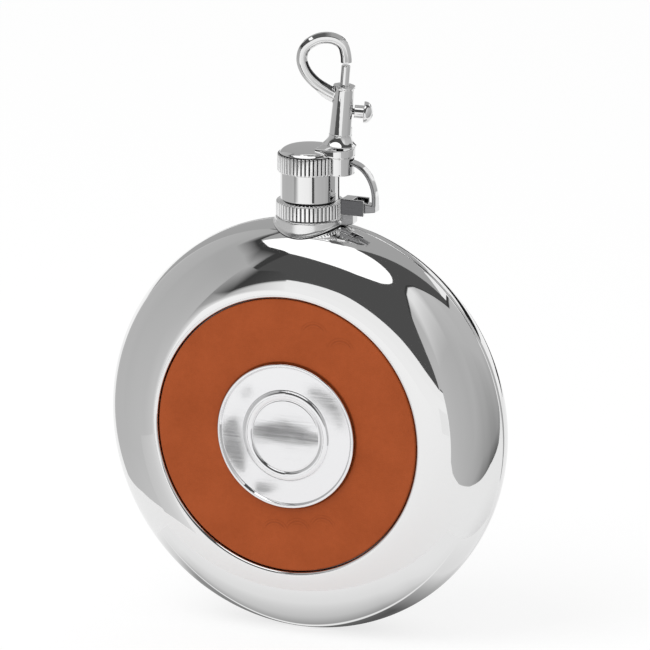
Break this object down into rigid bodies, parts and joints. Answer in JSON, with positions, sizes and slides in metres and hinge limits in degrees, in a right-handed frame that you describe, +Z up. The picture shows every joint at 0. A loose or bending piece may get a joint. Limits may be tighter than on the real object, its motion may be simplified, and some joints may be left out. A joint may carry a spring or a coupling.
{
  "type": "round pocket flask",
  "caption": "Round polished steel pocket flask with an inlaid leather ring, a captive screw cap on a hinged arm and a swivel bolt snap.",
  "frame": {"origin": "middle of the small flat on the bottom of the rim that the flask stands on", "axes": "+Z up through the neck, front with the leather ring towards -Y, hinge and hook towards +X"},
  "size_m": [0.095, 0.0274, 0.1384],
  "materials": {
    "polished_steel": "mirror polished stainless steel",
    "medallion_steel": "polished plate with fine straight brush marks in its middle",
    "plain_steel": "plain turned steel",
    "leather": "smooth tan-brown leather with faint grain",
    "nylon": "moulded natural nylon",
    "silicone": "soft silicone",
    "adhesive": "dark foam adhesive"
  },
  "bodies": {
    "flask_body": {"front_shell": "polished_steel", "back_shell": "polished_steel", "leather_ring": "leather", "medallion": "medallion_steel", "medallion_pad": "adhesive", "neck_tube": "plain_steel", "hinge_collar": "polished_steel"},
    "pin_carrier": {"hinge_pin": "plain_steel"},
    "arm": {"captive_arm": "polished_steel", "arm_pin": "plain_steel", "cap_crown": "polished_steel", "cap_rivet": "plain_steel", "rivet_washer": "plain_steel", "swivel_post": "plain_steel"},
    "cap": {"cap_shell": "polished_steel", "cap_liner": "nylon", "cap_gasket": "silicone"},
    "hook": {"swivel_bell": "polished_steel", "hook_body": "polished_steel", "bolt_spring": "plain_steel"},
    "bolt": {"bolt_plunger": "polished_steel", "thumb_knob": "polished_steel"}
  },
  "joints": [
    {"name": "cap_lift", "type": "slide", "parent": "flask_body", "child": "pin_carrier", "axis": [0, 0, 1], "range_m": [0, 0.0009]},
    {"name": "arm_swing", "type": "hinge", "parent": "pin_carrier", "child": "arm", "pos_m": [0.0129, 0, 0.09845], "axis": [0, 1, 0], "range_deg": [0, 100]},
    {"name": "cap_turn", "type": "hinge", "parent": "arm", "child": "cap", "pos_m": [0, 0, 0.1], "axis": [0, 0, 1], "range_deg": [0, 360]},
    {"name": "hook_swivel", "type": "hinge", "parent": "arm", "child": "hook", "pos_m": [0.0072, 0, 0.11175], "axis": [0.0722, 0.0307, 0.9969], "continuous": true},
    {"name": "bolt_slide", "type": "slide", "parent": "hook", "child": "bolt", "axis": [0.0722, 0.0307, 0.9969], "range_m": [-0.003, 0], "stiffness_N_per_m": 250, "springref_m": 0.002, "deforming": ["bolt_spring"]}
  ],
  "couplings": [
    {"joint": "cap_lift", "follows": "cap_turn", "m_per_rad": 0.00014323}
  ]
}
